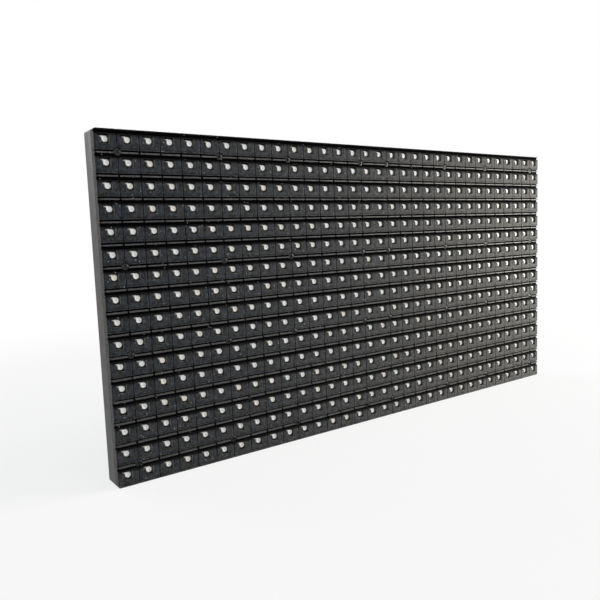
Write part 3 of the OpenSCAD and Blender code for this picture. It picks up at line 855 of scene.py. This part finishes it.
def ribbon(points, width, low, high):
    """Flat strip along points in X and Z, between two depths."""
    line = [Vector(p) for p in points]
    rings = []
    for i, point in enumerate(line):
        along = Vector((0.0, 0.0))
        if i > 0:
            along += (point - line[i - 1]).normalized()
        if i < len(line) - 1:
            along += (line[i + 1] - point).normalized()
        along.normalize()
        across = Vector((-along.y, along.x)) * width / 2
        left, right = point + across, point - across
        corners = ((left, high), (left, low), (right, low), (right, high))
        rings.append([(rim.x, y, rim.y) for rim, y in corners])
    return loft(rings)


def frame_line(low, high, width, depth):
    """Rectangle drawn as a line on the board's back, between two corners in X and Z."""
    (left, bottom), (right, top) = low, high
    heap = Heap()
    for z in (bottom, top):
        heap.add(ribbon([(left - width / 2, z), (right + width / 2, z)], width, BOARD_BACK, depth))
    for x in (left, right):
        heap.add(ribbon([(x, bottom + width / 2), (x, top - width / 2)], width, BOARD_BACK, depth))
    return heap.points, heap.faces


# Operators


class ModuleOperator:
    """What the operators share."""

    bl_options = {"REGISTER", "UNDO"}

    def execute(self, context):
        self.make()
        return {"FINISHED"}


class MODULE_OT_masks(ModuleOperator, bpy.types.Operator):
    """Finish the two halves of the front mask"""

    bl_idname = "module.masks"
    bl_label = "Front masks"

    def make(self):
        paint(mask_plastic(), "mask_left", "mask_right")


class MODULE_OT_screws(ModuleOperator, bpy.types.Operator):
    """Model the screws that hold the masks"""

    bl_idname = "module.screws"
    bl_label = "Mask screws"

    crown = 0.35 * MM
    shank_share = 0.576

    def make(self):
        boxes = solids("mask_screws")
        low, high = boxes[0]
        head = high.x - low.x
        shape = screw_shape(head, self.crown, high.y - low.y, head * self.shank_share)
        heap = Heap()
        golden = math.pi * (3 - math.sqrt(5))
        for count, (low, high) in enumerate(boxes):
            place = Matrix.Translation(((low.x + high.x) / 2, low.y + head / 3, (low.z + high.z) / 2))
            turn = Matrix.Rotation(math.pi / 2, 4, "X") @ Matrix.Rotation(golden * count, 4, "Z")
            heap.add(shape, place @ turn)
        steel = metal("screw_steel", look("shell").steel, (0.015, 0.015, 0.016), 0.3, 0.45)
        heap.piece("screws", steel, "screw_steel", ["mask_screws"])


class MODULE_OT_lamps(ModuleOperator, bpy.types.Operator):
    """Finish the lamps and the silicone round them, and model the lamps' ears"""

    bl_idname = "module.lamps"
    bl_label = "Lamps"

    def make(self):
        white = lamp_white()
        paint(white, *LAMP_ROWS)
        paint(lamp_resin(), *LENS_ROWS)
        paint(silicone(), "cast_silicone")
        heap = Heap()
        for node in LAMP_ROWS:
            low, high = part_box(node)
            side = high.z - low.z
            for column in range(round((high.x - low.x) / PITCH)):
                corner = Vector((low.x + column * PITCH, low.y, low.z + side / 2))
                heap.add(self.ear(look("lamp")), Matrix.Translation(corner))
        heap.piece("lamp_ears", white, "lamp_white")

    def ear(self, s):
        """Sloped ear at the upper left of a lamp, from the middle of its left front edge."""
        root, slope, tip = 0.12 * MM, 0.5 * MM, 0.35
        outline = [(root, 2 * slope), (-s.ear_reach, 2 * slope), (-s.ear_reach, slope), (root, -0.012 * MM)]
        points, faces = extruded(outline, 2 * s.ear_half)
        for point in points:
            if point.x < 0:
                point.z = s.ear_half + (point.z - s.ear_half) * tip
            point.z += s.ear_height
        return points, faces


class MODULE_OT_board(ModuleOperator, bpy.types.Operator):
    """Finish the circuit board"""

    bl_idname = "module.board"
    bl_label = "Circuit board"

    def make(self):
        paint(board_varnish(), "circuit_board")


# Chips: node, leads on each side, lead spacing and lead width
PACKAGES = (
    ("driver_chips", 12, 0.635 * MM, 0.25 * MM),
    ("buffer_chips", 10, 0.65 * MM, 0.24 * MM),
    ("row_switches", 4, 1.27 * MM, 0.42 * MM),
    ("row_decoder", 8, 1.27 * MM, 0.42 * MM),
)


class MODULE_OT_tracks(ModuleOperator, bpy.types.Operator):
    """Model the tracks and the plated holes on the back of the board"""

    bl_idname = "module.tracks"
    bl_label = "Tracks and plated holes"

    bus_lines = 6
    bus_start = 7.5 * MM
    bus_step = 0.8 * MM
    bus_margin = 12 * MM
    header_straight = 4 * MM
    header_length = 10 * MM
    header_gather = 0.45
    rail_gather = 0.6

    def make(self):
        s = look("board")
        self.top = BOARD_BACK + 0.025 * MM
        self.tracks, self.holes = Heap(), Heap()
        for node, count, step, _ in PACKAGES:
            for low, high in solids(node):
                self.fan(s, low, high, count, step)
        self.buses(s)
        for name in ("input_header", "output_header"):
            self.header_lines(s, middle(name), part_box(name))
        self.rails(s)
        f = Finish("track_varnish", coat_weight=0.25, coat_roughness=0.2)
        shade = f.mix(f.noise(2 * MM, 2.0), s.track, [c * 1.25 for c in s.track])
        f.set(base_color=shade, roughness=f.spread(f.noise(0.6 * MM), 0.28, 0.4))
        self.tracks.piece("board_tracks", f.material, "board")
        self.holes.piece("board_holes", solder_tin("hole_tin"), "contact_tin")

    def track(self, points, width):
        self.tracks.add(ribbon(points, width, BOARD_BACK, self.top))

    def hole(self, x, z, radius=0.28 * MM):
        """Plated ring at the end of a track."""
        rim = 0.04 * MM
        profile = [(radius, 0.0), (radius, rim), (radius / 2, rim), (radius / 2, 0.0), (radius, 0.0)]
        upright = Matrix.Translation((x, BOARD_BACK, z)) @ Matrix.Rotation(-math.pi / 2, 4, "X")
        self.holes.add(turned(profile, 10), upright)

    def fan(self, s, low, high, count, step):
        """Short tracks from the leads of one chip to plated holes."""
        centre = (low.x + high.x) / 2
        for side, edge in ((1, high.z), (-1, low.z)):
            start = edge + side * s.lead_reach
            for i in range(count):
                off = i - (count - 1) / 2
                x, lean = centre + off * step, off * 0.14 * MM
                bend = start + side * 0.45 * MM
                end = bend + side * (abs(lean) + (0.25 + 0.4 * (i % 2)) * MM)
                self.track([(x, start), (x, bend), (x + lean, end)], s.track_width)
                self.hole(x + lean, end)

    def buses(self, s):
        """Long lines past both rows of driver chips."""
        rows = sorted({round((low.z + high.z) / 2, 5) for low, high in solids("driver_chips")})
        reach = (CAD_BOX[1].x - CAD_BOX[0].x) / 2 - self.bus_margin
        for z in rows:
            for line in range(self.bus_lines):
                level = z - self.bus_start - line * self.bus_step
                self.track([(-reach, level), (reach, level)], s.track_width)
                for end in (-reach, reach):
                    self.hole(end, level, 0.32 * MM)

    def header_lines(self, s, centre, box):
        """Lines from a signal header's contacts to the buffer chips beside it."""
        side = -1 if centre.x > 0 else 1
        start = centre.x + side * (box[1].x - box[0].x) / 2
        levels = sorted({round((low.z + high.z) / 2, 5) for low, high in solids("input_contacts")})
        bend = start + side * self.header_straight
        far = start + side * self.header_length
        for z in levels:
            end = centre.z + (z - centre.z) * self.header_gather
            turn = bend + side * abs(end - z)
            self.track([(start, z), (bend, z), (turn, end), (far, end)], s.track_width)
            self.hole(far, end)

    def rails(self, s):
        """Wide supply tracks from the power header to the electrolytic capacitors."""
        low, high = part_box("power_header")
        level = middle("power_header").z
        for box in solids("capacitor_bases"):
            centre = (box[0] + box[1]) / 2
            z = level + (centre.z - level) * self.rail_gather
            edge = high.x if centre.x > 0 else low.x
            self.track([(edge, z), (centre.x, z), (centre.x, centre.z)], s.rail_width)


class MODULE_OT_legend(ModuleOperator, bpy.types.Operator):
    """Print the outlines of the pieces on the back of the board"""

    bl_idname = "module.legend"
    bl_label = "Printed outlines"

    line = 0.18 * MM
    depth = 0.035 * MM

    # How far each outline lies outside its piece, across and up, in millimetres
    margins = {
        "driver_chips": (0.5, -0.35),
        "buffer_chips": (0.5, -0.35),
        "row_switches": (0.4, -0.35),
        "row_decoder": (0.5, -0.35),
        "capacitor_bases": (0.9, 0.5),
        "input_header": (0.5, 0.5),
        "output_header": (0.5, 0.5),
        "power_header": (0.5, 0.5),
        "chip_capacitors": (0.8, 0.35),
        "chip_resistors": (0.8, 0.35),
    }

    def make(self):
        heap = Heap()
        for node, (wide, tall) in self.margins.items():
            for low, high in solids(node):
                first = (low.x - wide * MM, low.z - tall * MM)
                last = (high.x + wide * MM, high.z + tall * MM)
                heap.add(frame_line(first, last, self.line, BOARD_BACK + self.depth))
        ink = look("board").legend
        f = Finish("legend_ink", roughness=0.6)
        f.set(base_color=f.mix(f.patches(0.5 * MM, 3.0, 0.55, 0.8), ink, [c * 0.8 for c in ink]))
        heap.piece("board_legend", f.material, "board")


class MODULE_OT_chips(ModuleOperator, bpy.types.Operator):
    """Finish the chips and model their leads"""

    bl_idname = "module.chips"
    bl_label = "Chips"

    def make(self):
        s = look("board")
        body = moulding("chip_black", s.chip, (0.022, 0.022, 0.023), 0.55, specular_ior_level=0.4)
        tin = solder_tin("contact_tin", 0.25, 0.42)
        for node, count, step, width in PACKAGES:
            paint(body, node)
            heap = Heap()
            for low, high in solids(node):
                lead = lead_shape(s, width, (high.y + low.y) / 2 - BOARD_BACK)
                for side, z in ((1, high.z), (-1, low.z)):
                    for i in range(count):
                        x = (low.x + high.x) / 2 + (i - (count - 1) / 2) * step
                        rows = ((1, 0, 0, x), (0, 0, 1, BOARD_BACK), (0, side, 0, z), (0, 0, 0, 1))
                        heap.add(lead, Matrix(rows))
                        heap.add(self.foot_pad(s, x, z, side, width))
            heap.piece(node.removesuffix("_chips") + "_leads", tin, "contact_tin")

    def foot_pad(self, s, x, z, side, width):
        """Solder under the foot of a lead that leaves its chip at x and z."""
        half, thick, past = width * 0.75, 0.04 * MM, 0.25 * MM
        near = z + side * (s.lead_reach - s.lead_foot) * 0.9
        far = z + side * (s.lead_reach + past)
        return solder_pad((x - half, BOARD_BACK, near), (x + half, BOARD_BACK + thick, far))


class MODULE_OT_small_parts(ModuleOperator, bpy.types.Operator):
    """Model the chip capacitors and resistors with their tinned ends"""

    bl_idname = "module.small_parts"
    bl_label = "Chip capacitors and resistors"

    def make(self):
        s = look("board")
        ceramic = moulding("capacitor_tan", s.ceramic, [c * 0.85 for c in s.ceramic], 0.5)
        black = moulding("resistor_black", s.chip, (0.03, 0.03, 0.032), 0.35)
        ends = Heap()
        for node, name, material, slot in (
            ("chip_capacitors", "chip_capacitor_bodies", ceramic, "capacitor_tan"),
            ("chip_resistors", "chip_resistor_bodies", black, "chip_black"),
        ):
            heap = Heap()
            for low, high in solids(node):
                end = (high.x - low.x) * 0.24
                skin = Vector((0, 0.03 * MM, 0.03 * MM))
                inner = Vector((end * 0.6, 0, 0))
                heap.add(soft_box(low + inner + skin, high - inner - skin, 0.05 * MM))
                ends.add(soft_box(low, (low.x + end, high.y, high.z), 0.08 * MM))
                ends.add(soft_box((high.x - end, low.y, low.z), high, 0.08 * MM))
                for x in (low.x, high.x):
                    pad_low = (x - 0.45 * MM, low.y, low.z - 0.1 * MM)
                    pad_high = (x + 0.45 * MM, low.y + 0.06 * MM, high.z + 0.1 * MM)
                    ends.add(solder_pad(pad_low, pad_high))
            heap.piece(name, material, slot, [node])
        ends.piece("chip_ends", solder_tin("end_tin"), "contact_tin")


class MODULE_OT_capacitors(ModuleOperator, bpy.types.Operator):
    """Finish the electrolytic capacitors and model their soldered tabs"""

    bl_idname = "module.capacitors"
    bl_label = "Electrolytic capacitors"

    def make(self):
        s = look("board")
        paint(can_aluminium(), "capacitor_cans")
        paint(moulding("base_black", s.header, (0.02, 0.02, 0.022), 0.45), "capacitor_bases")
        heap = Heap()
        for low, high in solids("capacitor_bases"):
            middle_z = (low.z + high.z) / 2
            for x, side in ((low.x, -1), (high.x, 1)):
                first = (x - side * 0.6 * MM, BOARD_BACK, middle_z - 0.45 * MM)
                last = (x + side * 0.7 * MM, BOARD_BACK + 0.15 * MM, middle_z + 0.45 * MM)
                heap.add(solder_pad(first, last))
        heap.piece("capacitor_tabs", solder_tin("tab_tin"), "contact_tin")


class MODULE_OT_headers(ModuleOperator, bpy.types.Operator):
    """Finish the headers and model their contacts"""

    bl_idname = "module.headers"
    bl_label = "Headers"

    def make(self):
        s = look("board")
        black = moulding("header_plastic", s.header, (0.022, 0.022, 0.025), 0.4)
        paint(black, "input_header", "output_header")
        paint(moulding("power_plastic", s.power, [c * 0.93 for c in s.power], 0.38), "power_header")
        gold = metal("contact_gold", s.gold, (0.60, 0.42, 0.17), 0.18, 0.32)
        tin = metal("power_tin", s.tin, (0.50, 0.50, 0.51), 0.22, 0.38)
        for node, name, material, slot in (
            ("input_contacts", "input_pins", gold, "contact_gold"),
            ("output_contacts", "output_pins", gold, "contact_gold"),
            ("power_contacts_set", "power_pins", tin, "contact_tin"),
        ):
            heap = Heap()
            for box in solids(node):
                heap.add(pin_shape(box, 0.8 * MM))
            heap.piece(name, material, slot, [node])


class MODULE_OT_shell(ModuleOperator, bpy.types.Operator):
    """Finish the rear shell and its seal, and model the rim that meets the mask's skirt"""

    bl_idname = "module.shell"
    bl_label = "Rear shell"

    def make(self):
        s = look("shell")
        plastic = shell_plastic()
        paint(plastic, "rear_shell")
        paint(seal_rubber(), "rear_seal")
        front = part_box("mask_left")[1].y + s.parting
        back = front + s.rim_depth
        outer, inner = self.outline(s, 0.0), self.outline(s, s.rim_width)
        loops = ((inner, front), (inner, back), (outer, back), (outer, front))
        points, faces = loft([[(x, y, z) for x, z in loop] for loop, y in loops], closed=True)
        add_piece("shell_rim", points, faces, plastic)

    def outline(self, s, inset):
        """Round-cornered outline of the shell in X and Z, drawn in by an inset."""
        low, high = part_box("rear_shell")
        radius = max(s.corner - inset, 0.1 * MM)
        points = []
        for turn, (x, z) in enumerate(((high.x, high.z), (low.x, high.z), (low.x, low.z), (high.x, low.z))):
            toward = Vector((-1 if x > 0 else 1, -1 if z > low.z else 1))
            centre = Vector((x, z)) + toward * (inset + radius)
            for step in range(7):
                angle = math.radians(90 * turn + 15 * step)
                points.append(centre + radius * Vector((math.cos(angle), math.sin(angle))))
        return points


class MODULE_OT_inserts(ModuleOperator, bpy.types.Operator):
    """Model the knurled brass inserts with their thread"""

    bl_idname = "module.inserts"
    bl_label = "Threaded inserts"

    bore_share = 0.652

    def make(self):
        s = look("shell")
        boxes = solids("threaded_inserts")
        low, high = boxes[0]
        outer, tall = (high.x - low.x) / 2, high.y - low.y
        bore = outer * self.bore_share

        def surface(radius, height, angle):
            if radius < outer * 0.8:
                turn = (height / s.thread_pitch - angle / (2 * math.pi)) % 1.0
                return radius + 0.5 * s.thread_pitch * abs(2 * turn - 1)
            if 0.2 * tall < height < 0.8 * tall and abs(height - tall / 2) > 0.06 * tall:
                lean = 1 if height > tall / 2 else -1
                wave = math.cos(s.knurls * angle + lean * height / tall * 12)
                return radius - s.knurl_depth * (0.5 + 0.5 * wave)
            return radius - s.knurl_depth

        rows = 40
        bevel = 0.25 * MM
        inside = [(bore, tall * (1 - i / rows)) for i in range(1, rows)]
        outside = [(outer, tall * i / rows) for i in range(1, rows)]
        profile = [(bore + bevel, 0.0), (outer - bevel, 0.0)] + outside
        profile += [(outer - bevel, tall), (bore + bevel, tall)] + inside + [(bore + bevel, 0.0)]
        shape = turned(profile, 96, surface)
        heap = Heap()
        for low, high in boxes:
            place = Matrix.Translation(((low.x + high.x) / 2, high.y, (low.z + high.z) / 2))
            heap.add(shape, place @ Matrix.Rotation(math.pi / 2, 4, "X"))
        brass = metal("brass", s.brass, (0.42, 0.28, 0.10), 0.22, 0.36)
        heap.piece("inserts", brass, "brass", ["threaded_inserts"], 50.0)


class MODULE_OT_stage(ModuleOperator, bpy.types.Operator):
    """Set up the floor, the lights and the camera"""

    bl_idname = "module.stage"
    bl_label = "Studio"

    floor_radius = 6.0
    shadow_end = (0.25, 0.6)

    # Name, place, and width and height of each light
    lights = (
        ("window", (1.13, -0.46, 0.04), (0.75, 0.9)),
        ("card", (0.62, -0.24, 0.03), (0.3, 0.16)),
        ("softbox", (0.3, -0.5, 1.2), (1.7, 0.9)),
        ("front_fill", (-0.9, -0.9, 0.35), (0.9, 0.7)),
        ("back_light", (-0.5, 1.2, 0.7), (1.0, 0.8)),
    )
    warm_lights = ("window", "card")

    def make(self):
        s = look("stage")
        bpy.context.scene.view_settings.view_transform = "Standard"
        self.floor(s)
        self.world(s)
        for name, place, size in self.lights:
            tint = s.warm if name in self.warm_lights else (1.0, 1.0, 1.0)
            self.light(name, place, size, getattr(s, name), tint)
        self.camera(s)

    def floor(self, s):
        """Round floor that keeps the shadow near the module and turns to plain white further off."""
        shape = bmesh.new()
        bmesh.ops.create_circle(shape, cap_ends=True, segments=64, radius=self.floor_radius)
        mesh = bpy.data.meshes.new("floor")
        shape.to_mesh(mesh)
        shape.free()
        floor = bpy.data.objects.new("floor", mesh)
        bpy.context.scene.collection.objects.link(floor)
        f = Finish("floor", roughness=0.9, specular_ior_level=0.0)
        f.set(base_color=f.mix(f.noise(30 * MM, 2.0), s.floor, [c * 0.985 for c in s.floor]))
        white = f.node("ShaderNodeEmission", {"Color": (1.0, 1.0, 1.0), "Strength": 1.0}).outputs[0]
        far = f.between(f.vector_math("LENGTH", f.place)[1], *self.shadow_end)
        path = f.node("ShaderNodeLightPath").outputs
        seen = f.most(path["Is Camera Ray"], path["Is Glossy Ray"], path["Is Transmission Ray"])
        amount = f.times(seen, f.spread(far, 0.75, 1.0))
        blend = f.node("ShaderNodeMixShader", {0: amount, 1: f.shader.outputs[0], 2: white}).outputs[0]
        output = next(n for n in f.tree.nodes if n.type == "OUTPUT_MATERIAL")
        f.tree.links.new(blend, output.inputs["Surface"])
        mesh.materials.append(f.material)

    def world(self, s):
        """White to the camera and in reflections, softer as a light."""
        world = bpy.data.worlds.new("studio")
        world.use_nodes = True
        bpy.context.scene.world = world
        nodes, links = world.node_tree.nodes, world.node_tree.links
        nodes.clear()
        path = nodes.new("ShaderNodeLightPath").outputs
        seen = path["Is Camera Ray"]
        for ray in ("Is Glossy Ray", "Is Transmission Ray"):
            either = nodes.new("ShaderNodeMath")
            either.operation = "MAXIMUM"
            links.new(seen, either.inputs[0])
            links.new(path[ray], either.inputs[1])
            seen = either.outputs[0]
        strength = nodes.new("ShaderNodeMapRange")
        strength.inputs["To Min"].default_value = s.fill
        strength.inputs["To Max"].default_value = 1.0
        links.new(seen, strength.inputs["Value"])
        background = nodes.new("ShaderNodeBackground")
        tint = nodes.new("ShaderNodeMix")
        tint.data_type = "RGBA"
        tint.inputs[6].default_value = (*s.cool, 1.0)
        tint.inputs[7].default_value = (1.0, 1.0, 1.0, 1.0)
        links.new(seen, tint.inputs[0])
        links.new(tint.outputs[2], background.inputs["Color"])
        links.new(strength.outputs[0], background.inputs["Strength"])
        output = nodes.new("ShaderNodeOutputWorld")
        links.new(background.outputs[0], output.inputs["Surface"])

    def light(self, name, place, size, brightness, tint):
        """Area light of a given brightness that faces the module."""
        data = bpy.data.lights.new(name, "AREA")
        data.shape = "RECTANGLE"
        data.color = tint
        data.size, data.size_y = size
        data.energy = brightness * math.pi * size[0] * size[1]
        lamp = bpy.data.objects.new(name, data)
        bpy.context.scene.collection.objects.link(lamp)
        lamp.location = place
        lamp.rotation_euler = (OBJECT_MIDDLE - Vector(place)).to_track_quat("-Z", "Y").to_euler()

    def camera(self, s):
        data = bpy.data.cameras.new("camera")
        data.sensor_width = 36.0
        data.lens = s.lens
        data.clip_start = 0.01
        camera = bpy.data.objects.new("camera", data)
        bpy.context.scene.collection.objects.link(camera)
        heading = Matrix.Rotation(-s.heading, 4, "Z")
        tilt = Matrix.Rotation(math.pi / 2 + s.tilt, 4, "X")
        roll = Matrix.Rotation(s.roll, 4, "Z")
        camera.matrix_world = Matrix.Translation(s.camera_place) @ heading @ tilt @ roll
        bpy.context.scene.camera = camera


OPERATORS = (
    MODULE_OT_stage,
    MODULE_OT_masks,
    MODULE_OT_screws,
    MODULE_OT_lamps,
    MODULE_OT_board,
    MODULE_OT_tracks,
    MODULE_OT_legend,
    MODULE_OT_chips,
    MODULE_OT_small_parts,
    MODULE_OT_capacitors,
    MODULE_OT_headers,
    MODULE_OT_shell,
    MODULE_OT_inserts,
)


class MODULE_PT_sidebar(bpy.types.Panel):
    """Lists the steps that dress the module"""

    bl_idname = "MODULE_PT_sidebar"
    bl_label = "Display module"
    bl_space_type = "VIEW_3D"
    bl_region_type = "UI"
    bl_category = "Display Module"

    def draw(self, context):
        for operator in OPERATORS:
            self.layout.operator(operator.bl_idname)
        for name in LOOKS:
            box = self.layout.box()
            box.label(text=name.title())
            group = getattr(context.scene, "module_" + name)
            for key in group.bl_rna.properties.keys():
                if key not in ("rna_type", "name"):
                    box.prop(group, key)


CLASSES = (*LOOKS.values(), *OPERATORS, MODULE_PT_sidebar)


def register():
    for cls in CLASSES:
        bpy.utils.register_class(cls)
    for name, group in LOOKS.items():
        setattr(bpy.types.Scene, "module_" + name, PointerProperty(type=group))


def unregister():
    for name in LOOKS:
        delattr(bpy.types.Scene, "module_" + name)
    for cls in reversed(CLASSES):
        bpy.utils.unregister_class(cls)


def main():
    register()
    for operator in OPERATORS:
        group, name = operator.bl_idname.split(".")
        getattr(getattr(bpy.ops, group), name)()


if __name__ == "__main__":
    main()
